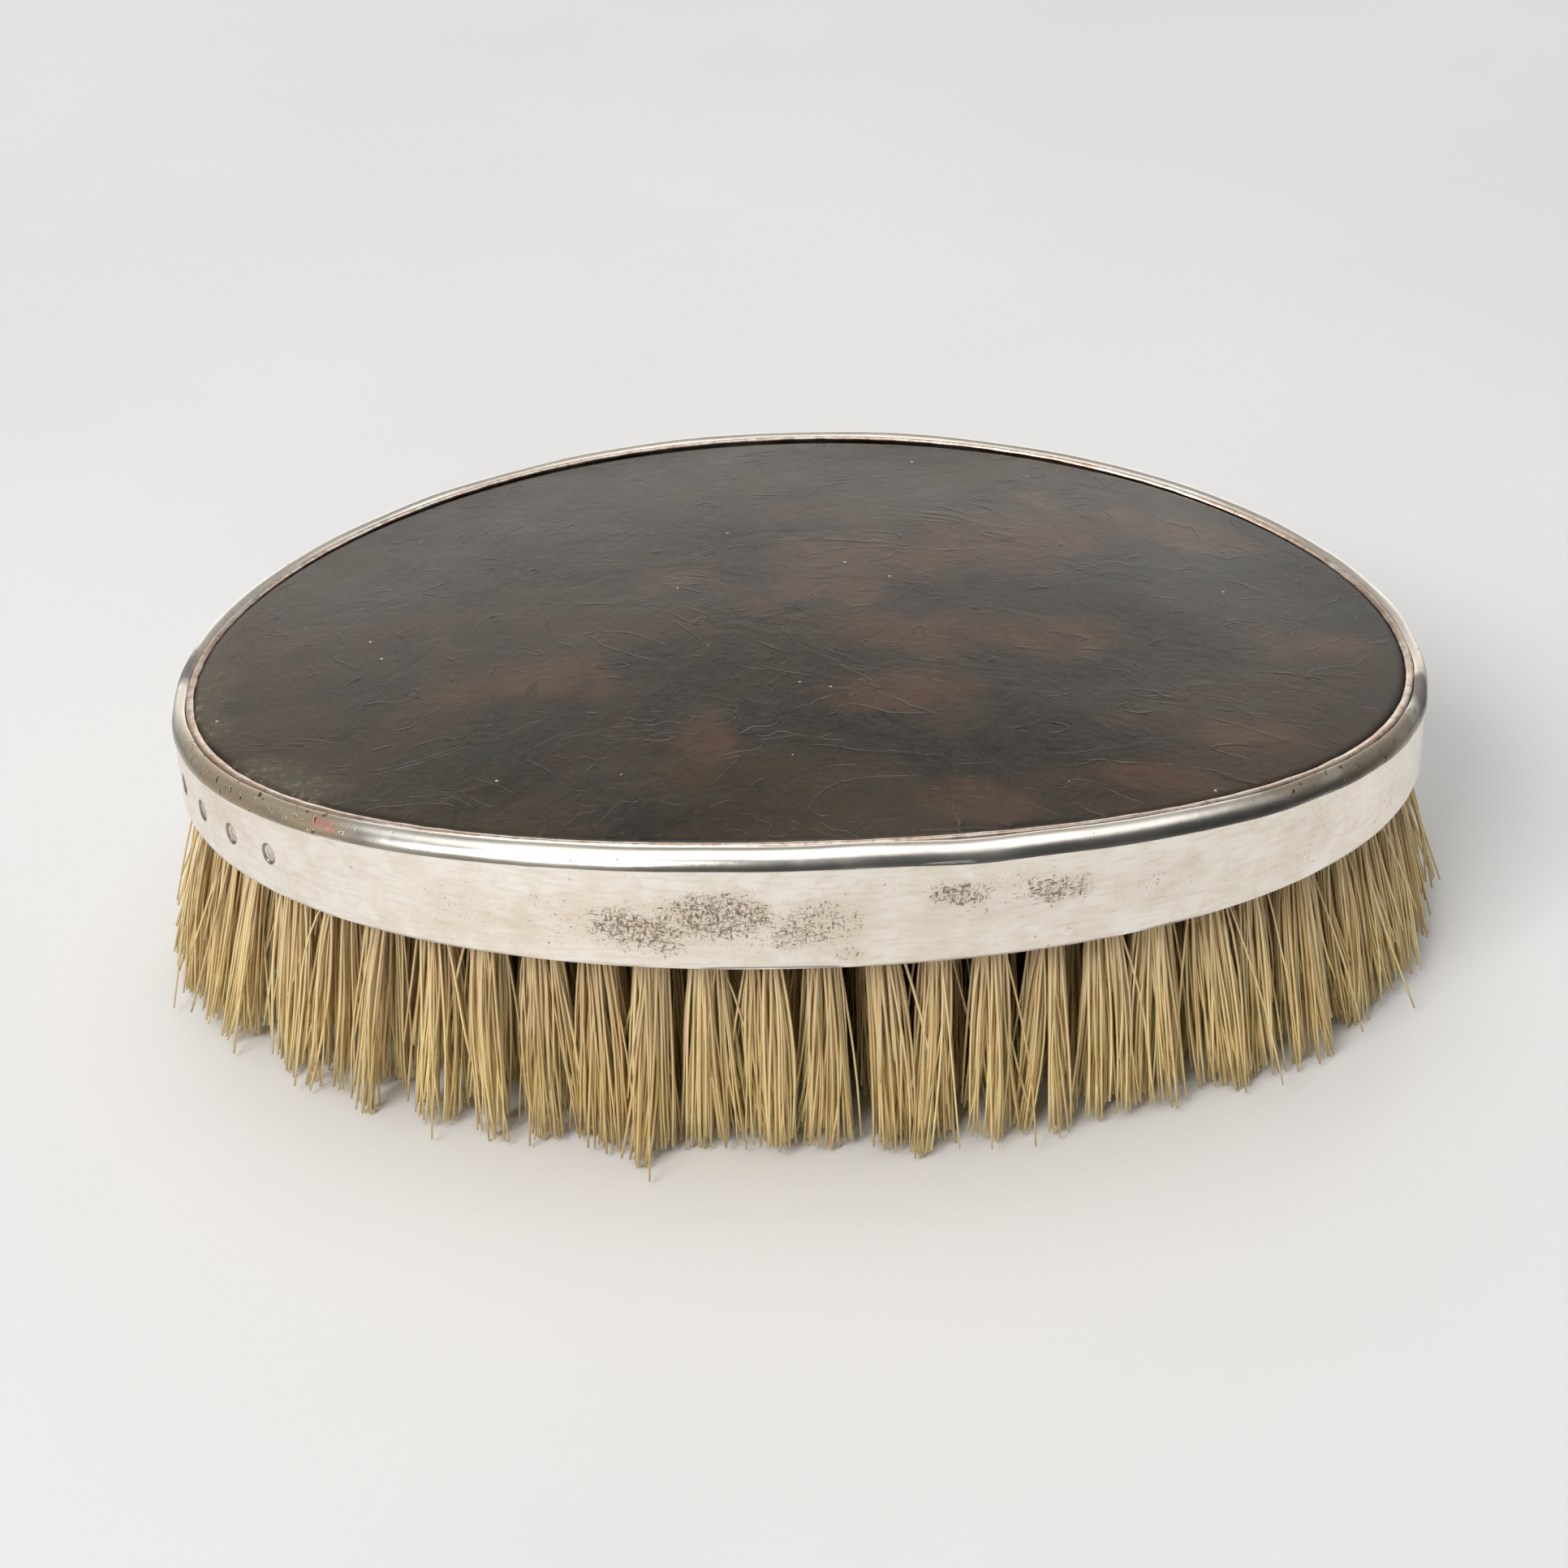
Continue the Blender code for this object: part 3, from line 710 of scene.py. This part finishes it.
def seam_mesh():
    """The lumpy line of solder where the moulding meets the band, with one larger blob."""
    angles = full_circle(FINE_AROUND)
    x, _ = edge_points(angles)
    lumps = np.abs(ring_waves(angles, 1.0, low=40, high=170, seed=21))
    blob = 0.9 * bell(np.degrees(angles), BLOB_ANGLE, BLOB_REACH)
    radius = (0.055 + 0.035 * lumps + 0.14 * blob) * MM
    middle = crown_height(x) - BEAD_DEPTH * 0.97 + ring_waves(angles, 0.05 * MM, low=8, high=60, seed=22)
    columns = []
    for turn in full_circle(8):
        px, py = edge_points(angles, SEAM_INSET - radius * math.cos(turn))
        columns.append(np.stack([px, py, middle + radius * math.sin(turn)], axis=1))
    return ring_mesh("solder_seam", np.stack(columns, axis=1))


# The burnished strip's section, up its outer side and over: insets and rises above the shell's edge, in mm
BEZEL_SECTION = [(1.44, -1.8), (1.44, 0.00), (1.48, 0.20), (1.56, 0.29), (1.70, 0.33), (1.85, 0.32),
                 (1.98, 0.27), (2.06, 0.18), (2.08, 0.08), (2.04, 0.00), (1.95, -0.06), (1.90, -0.25),
                 (1.88, -1.8)]
BEZEL_WIDER_AT_ENDS = 0.42 * MM
BEZEL_NARROWER_BEHIND = 0.18 * MM


def bezel_mesh():
    """Thin strip burnished down over the shell's edge."""
    angles = full_circle(FINE_AROUND)
    x, _ = edge_points(angles)
    wander = ring_waves(angles, 0.045 * MM, low=20, high=120, seed=31)
    rise = ring_waves(angles, 0.03 * MM, low=10, high=110, seed=32)
    base = crown_height(x) - SHELL_DROP
    behind = np.maximum(np.sin(angles), 0)
    widening = BEZEL_WIDER_AT_ENDS * np.cos(angles) ** 2 - BEZEL_NARROWER_BEHIND * behind ** 2
    columns = []
    for inset, height in BEZEL_SECTION:
        share = max(0.0, (inset - 1.5) / 1.1)
        px, py = edge_points(angles, inset * MM + (wander + widening) * share)
        columns.append(np.stack([px, py, base + height * MM + rise * share], axis=1))
    return ring_mesh("bezel_strip", np.stack(columns, axis=1))


# A pin head's profile from its shank to its crown: radii and rises from the band, in mm
PIN_PROFILE = [(0.50, -1.9), (0.50, -0.02), (0.47, 0.035), (0.40, 0.045), (0.36, 0.02), (0.28, 0.05),
               (0.14, 0.075)]
PIN_CROWN = 0.08 * MM
PIN_SHANK = 1.9 * MM
PIN_SIDES = 28


def pin_heads(material):
    """Flush riveted pin heads, one over each CAD pin."""
    for number in range(1, 4):
        node = f"band_pin_{number}"
        low, high = (np.array(corner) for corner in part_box(node))
        middle = (low + high) / 2
        angle = math.atan2(signed_power(middle[1] / HALF_WIDTH, OVAL_POWER / 2),
                           signed_power(middle[0] / HALF_LENGTH, OVAL_POWER / 2))
        (x,), (y,) = edge_points(np.array([angle]), BAND_INSET - BAND_FLARE * 0.8)
        (inner_x,), (inner_y,) = edge_points(np.array([angle]), 2.0 * MM)
        outward = Vector((x - inner_x, y - inner_y, 0)).normalized()
        side = Vector((-outward.y, outward.x, 0))
        up = Vector((0, 0, 1))
        face = Vector((x, y, middle[2]))
        loops = []
        for radius, rise in PIN_PROFILE:
            loop = []
            for turn in full_circle(PIN_SIDES):
                dented = radius * (1 + 0.05 * math.sin(3 * turn + number)) * MM
                spoke = side * math.cos(turn) + up * math.sin(turn)
                loop.append(face + spoke * dented + outward * rise * MM)
            loops.append(loop)
        foot, crown = face - outward * PIN_SHANK, face + outward * PIN_CROWN
        head = capped_mesh(f"pin_head_{number}", loops, foot, crown)
        settle(head, material, "silver", node)


# ---------------------------------------------------------------- shell

SHELL_CLEARANCE = 0.05 * MM
# The plate's rounded edge: shares of its outline and how far they lie below the dome, in mm
SHELL_ROUNDING = [(1.0, 0.30), (0.9975, 0.10), (0.994, 0.02)]


def shell_mesh():
    """The arched plate, gently uneven under its polish."""
    around, rings = 480, 90
    edge_x, edge_y = edge_points(full_circle(around), SHELL_INSET - SHELL_CLEARANCE)
    inner_shares = np.linspace(0.985, 0.0, rings)[:-1] ** 0.9
    loops = []
    for share, drop in SHELL_ROUNDING + [(share, 0.0) for share in inner_shares]:
        x, y = edge_x * share, edge_y * share
        uneven = waves(x / 0.03, y / 0.03, 0.030 * MM, count=10, low=0.35, high=1.5, seed=41)
        uneven *= min(1.0, (1 - share) * 8)
        loops.insert(0, np.stack([x, y, shell_height(x, y) + uneven - drop * MM], axis=1))
    for share in (1.0, 0.8, 0.5, 0.25):
        x, y = edge_x * share, edge_y * share
        loops.append(np.stack([x, y, shell_height(x, y) - SHELL_THICKNESS], axis=1))
    summit = float(shell_height(0.0, 0.0))
    return capped_mesh("shell_plate", loops, (0, 0, summit), (0, 0, summit - SHELL_THICKNESS))


# ---------------------------------------------------------------- bristles

def tufts_of(node):
    """Where each tuft of a CAD row starts and ends: head and tip centres, read from its solid."""
    near_floor = 0.01 * MM
    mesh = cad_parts[node].data
    places = np.array([vertex.co for vertex in mesh.vertices])
    keys = [tuple(np.round(place * 1e6).astype(int)) for place in places]
    parents = {}

    def find(key):
        while parents.setdefault(key, key) != key:
            key = parents[key]
        return key

    wall_faces = []
    for face in mesh.polygons:
        heights = places[list(face.vertices), 2]
        if heights.max() < near_floor:
            first = find(keys[face.vertices[0]])
            for vertex in face.vertices[1:]:
                parents[find(keys[vertex])] = first
        elif heights.min() < near_floor:
            wall_faces.append(face)
    tips, heads = {}, {}
    for key in list(parents):
        tips.setdefault(find(key), set()).add(key)
    for face in wall_faces:
        low = [keys[v] for v in face.vertices if places[v, 2] < near_floor]
        high = [keys[v] for v in face.vertices if places[v, 2] > near_floor]
        heads.setdefault(find(low[0]), set()).update(high)
    result = []
    for group in sorted(tips, key=lambda key: math.atan2(key[1], key[0])):
        tip = np.array(sorted(tips[group])).mean(axis=0) * 1e-6
        head = np.array(sorted(heads[group])).mean(axis=0) * 1e-6
        result.append((head, tip))
    return result


HAIR_RADIUS = 0.135 * MM
HAIR_TAPER = 0.72
ROOT_DEPTH = 0.8 * MM
ROOT_UNEVENNESS = 0.3 * MM
ROOT_SPREAD = 1.45 * MM
TIP_SPREAD = 2.70 * MM
TUFT_LEAN = 0.60 * MM
LOCK_SHIFT = 0.45 * MM
HAIR_SCATTER = 0.42 * MM
STRAY_SHARE = 0.13
STRAY_SCATTER = 1.4 * MM
TRIM_SCALE = 0.45 * MM
SHORT_SHARE = 0.08
SHORT_BY = (1.0, 9.0)
LOWEST_TIP = 0.05 * MM
HAIR_BOW = 0.30 * MM
HAIR_KINK = 0.08 * MM


def disc_points(count):
    """Random points spread evenly over a disc of radius 1."""
    turn = random.uniform(0, 2 * math.pi, count)
    spot = np.sqrt(random.uniform(0, 1, count))
    return np.stack([np.cos(turn), np.sin(turn)], axis=1) * spot[:, None]


def hair_paths(head, tip, count, segments):
    """Centre lines of one tuft's hairs: hairs, points along, xyz. Hairs cling together in a few locks."""
    root_height = STOCK_LOW[2] + ROOT_DEPTH
    root = head + (tip - head) * ((head[2] - root_height) / head[2])
    disc = disc_points(count)
    starts = np.zeros((count, 3))
    starts[:, :2] = root[:2] + disc * ROOT_SPREAD
    starts[:, 2] = root_height + random.uniform(-ROOT_UNEVENNESS, ROOT_UNEVENNESS, count)
    locks = random.integers(5, 10)
    lock_disc = disc_points(locks)
    nearest = np.argmin(np.linalg.norm(disc[:, None, :] - lock_disc[None, :, :], axis=2), axis=1)
    cling = random.uniform(0.25, 0.80, locks)[nearest][:, None]
    lock_shift = random.normal(0, LOCK_SHIFT, (locks, 2))[nearest]
    tuft_lean = random.normal(0, TUFT_LEAN, 2)
    scatter = random.normal(0, HAIR_SCATTER, (count, 2))
    stray = random.uniform(0, 1, count) < STRAY_SHARE
    scatter[stray] += random.normal(0, STRAY_SCATTER, (int(stray.sum()), 2))
    tuft_spread = TIP_SPREAD * random.uniform(0.80, 1.08)
    gathered = disc * (1 - cling) + lock_disc[nearest] * cling
    ends = np.zeros((count, 3))
    ends[:, :2] = tip[:2] + gathered * tuft_spread + lock_shift + scatter + tuft_lean
    lock_trim = random.gamma(1.4, TRIM_SCALE, locks)[nearest]
    trim = lock_trim + random.gamma(1.5, TRIM_SCALE, count)
    short = random.uniform(0, 1, count) < SHORT_SHARE
    trim[short] += random.uniform(*SHORT_BY, int(short.sum())) * MM
    ends[:, 2] = np.maximum(trim, LOWEST_TIP)
    along = np.linspace(0, 1, segments + 1)
    bow = random.normal(0, HAIR_BOW, (count, 2)) + random.normal(0, HAIR_BOW, (locks, 2))[nearest]
    kink = random.normal(0, HAIR_KINK, (count, 2))
    paths = starts[:, None, :] + (ends - starts)[:, None, :] * along[None, :, None]
    curve = np.sin(along * math.pi)[None, :, None] * bow[:, None, :]
    twist = np.sin(along * 2 * math.pi)[None, :, None] * kink[:, None, :]
    paths[:, :, :2] += curve + twist
    return paths


def hair_mesh(name, paths, radii, shades, sides):
    """Tapered closed tubes round many centre lines, with each hair's shade stored on its corners."""
    count, steps, _ = paths.shape
    turns = full_circle(sides)
    circle = np.stack([np.cos(turns), np.sin(turns), np.zeros(sides)], axis=1)
    thickness = radii[:, None, None, None] * np.linspace(1.0, HAIR_TAPER, steps)[None, :, None, None]
    rings = paths[:, :, None, :] + circle[None, None, :, :] * thickness
    points = rings.reshape(-1, 3)
    base = (np.arange(count) * steps * sides)[:, None, None]
    step = (np.arange(steps - 1) * sides)[None, :, None]
    side = np.arange(sides)[None, None, :]
    after = (side + 1) % sides
    walls = np.stack([base + step + side, base + step + sides + side,
                      base + step + sides + after, base + step + after], axis=-1).reshape(-1, 4)
    start_caps = base[:, 0] + np.arange(sides)[None, :]
    end_caps = base[:, 0] + (steps - 1) * sides + np.arange(sides)[None, ::-1]
    caps = np.concatenate([start_caps, end_caps])
    corners = np.concatenate([walls.reshape(-1), caps.reshape(-1)])
    face_starts = np.concatenate([np.arange(len(walls)) * 4, walls.size + np.arange(len(caps)) * sides])
    mesh = bpy.data.meshes.new(name)
    mesh.vertices.add(len(points))
    mesh.vertices.foreach_set("co", points.astype(np.float32).reshape(-1))
    mesh.loops.add(len(corners))
    mesh.loops.foreach_set("vertex_index", corners.astype(np.int32))
    mesh.polygons.add(len(face_starts))
    mesh.polygons.foreach_set("loop_start", face_starts.astype(np.int32))
    mesh.update(calc_edges=True)
    mesh.validate()
    mesh.shade_smooth()
    shade = mesh.attributes.new("shade", "FLOAT", "POINT")
    shade.data.foreach_set("value", np.repeat(shades, steps * sides).astype(np.float32))
    piece = bpy.data.objects.new(name, mesh)
    bpy.context.collection.objects.link(piece)
    return piece


ROW_HAIRS = {"bristle_row_1": 80, "bristle_row_2": 74, "bristle_row_3": 60, "bristle_row_4": 44,
             "bristle_row_5": 44, "bristle_row_middle": 44}
TUFTS_TOGETHER = 10


def make_bristles(material):
    """All the hairs, in bunches of neighbouring tufts."""
    for node, hairs in ROW_HAIRS.items():
        tufts = tufts_of(node)
        segments = 7 if node == "bristle_row_1" else 5
        sides = 4 if node in ("bristle_row_1", "bristle_row_2") else 3
        for number, first in enumerate(range(0, len(tufts), TUFTS_TOGETHER)):
            paths, shades = [], []
            for head, tip in tufts[first:first + TUFTS_TOGETHER]:
                paths.append(hair_paths(head, tip, hairs, segments))
                tuft_shade = random.normal(0.5, 0.09)
                shades.append(np.clip(random.normal(tuft_shade, 0.26, hairs), 0, 1))
            paths = np.concatenate(paths)
            radii = HAIR_RADIUS * random.uniform(0.75, 1.25, len(paths))
            name = f"{node.replace('bristle_row', 'bristles')}_{number + 1}"
            bunch = hair_mesh(name, paths, radii, np.concatenate(shades), sides)
            settle(bunch, material, "bristle", node)


# ---------------------------------------------------------------- assembly

def make_brush():
    settle(band_mesh(), band_silver(), "silver", "side_band")
    bead = bead_silver()
    settle(bead_mesh(), bead, "silver", "rim_bead")
    settle(seam_mesh(), bead, "silver")
    settle(bezel_mesh(), bezel_silver(), "silver", "shell_bezel")
    pin_heads(pin_silver())
    settle(shell_mesh(), tortoiseshell(), "tortoiseshell", "tortoiseshell_back")
    make_bristles(bristle_hair())
    wood = stock_wood()
    cement = cement_material()
    for node, material in (("bristle_stock", wood), ("packing_board", wood), ("cement_bed", cement)):
        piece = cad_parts[node]
        piece.data.materials.clear()
        piece.data.materials.append(material)


# ---------------------------------------------------------------- stage, lights and camera

def make_floor():
    paint = Paint("floor")
    tone = paint.mix(paint.span(paint.noise(9.0, 4.0), 0.35, 0.65), (0.80, 0.80, 0.805), (0.83, 0.83, 0.83))
    paint.set(Base_Color=tone, Roughness=0.55)
    size = 3.0
    floor = mesh_object("floor", [(-size, -size, 0), (size, -size, 0), (size, size, 0), (-size, size, 0)],
                        [(0, 1, 2, 3)], smooth=False)
    floor.data.materials.append(paint.material)


WORLD_STRENGTH = 0.90


def make_world():
    """A white sweep behind, a room in front that darkens to the right, and a bright ceiling."""
    world = bpy.data.worlds.new("studio")
    bpy.context.scene.world = world
    world.use_nodes = True
    studio = Nodes(world.node_tree, "Generated")
    x, y, z = (studio.axis(name) for name in "XYZ")
    room = studio.mix(studio.span(x, -0.80, 0.10), (0.46, 0.40, 0.33), (0.070, 0.072, 0.070))
    sideways = studio.span(studio.maths("ABSOLUTE", x), 0.22, 0.60)
    sweep = studio.mix(sideways, (1.55, 1.51, 1.45), (0.48, 0.47, 0.45))
    low_ring = studio.mix(studio.span(y, -0.10, 0.35), room, sweep)
    high_ring = studio.mix(studio.span(y, -0.30, 0.15), (0.11, 0.11, 0.11), (0.34, 0.34, 0.33))
    walls = studio.mix(studio.span(z, 0.41, 0.64), low_ring, high_ring)
    whole = studio.mix(studio.span(z, 0.83, 0.95), walls, (1.75, 1.74, 1.72))
    background = studio.tree.nodes["Background"]
    studio.feed(background.inputs["Color"], whole)
    studio.feed(background.inputs["Strength"], WORLD_STRENGTH)


KEY_PLACE = (-0.68, -0.92, 1.08)
KEY_TARGET = (0, 0, 0.02)
KEY_SIZE = (0.75, 0.60)
KEY_WATTS = 17.0
KEY_TINT = (1.0, 0.99, 0.98)


def make_key_light():
    """One large lamp, in front to the left and high up."""
    lamp = bpy.data.lights.new("key", "AREA")
    lamp.shape = "RECTANGLE"
    lamp.size, lamp.size_y = KEY_SIZE
    lamp.energy = KEY_WATTS
    lamp.color = KEY_TINT
    light = bpy.data.objects.new("key", lamp)
    light.location = KEY_PLACE
    light.rotation_euler = (Vector(KEY_TARGET) - Vector(KEY_PLACE)).to_track_quat("-Z", "Y").to_euler()
    bpy.context.collection.objects.link(light)


CAMERA_ELEVATION = math.radians(34.3)
CAMERA_ROLL = math.radians(-1.64)
CAMERA_DISTANCE = 293.0 * MM
CAMERA_TARGET = Vector((-1.73 * MM, 0, 17.3 * MM))
SENSOR_WIDTH = 36.0
FOCAL_LENGTH = 68.3


def make_camera():
    """The photograph's viewpoint: in front, 34 degrees above the table, turned a little on its axis."""
    back = Vector((0, -math.cos(CAMERA_ELEVATION), math.sin(CAMERA_ELEVATION)))
    right = Vector((1, 0, 0))
    up = back.cross(right)
    turned_right = right * math.cos(CAMERA_ROLL) + up * math.sin(CAMERA_ROLL)
    turned_up = up * math.cos(CAMERA_ROLL) - right * math.sin(CAMERA_ROLL)
    camera_data = bpy.data.cameras.new("camera")
    camera_data.sensor_width = SENSOR_WIDTH
    camera_data.lens = FOCAL_LENGTH
    camera_data.clip_start = 0.01
    camera = bpy.data.objects.new("camera", camera_data)
    rotation = Matrix((turned_right, turned_up, back)).transposed().to_4x4()
    camera.matrix_world = Matrix.Translation(CAMERA_TARGET + back * CAMERA_DISTANCE) @ rotation
    bpy.context.collection.objects.link(camera)
    bpy.context.scene.camera = camera


make_brush()
make_floor()
make_world()
make_key_light()
make_camera()
bpy.context.scene.view_settings.view_transform = "Standard"
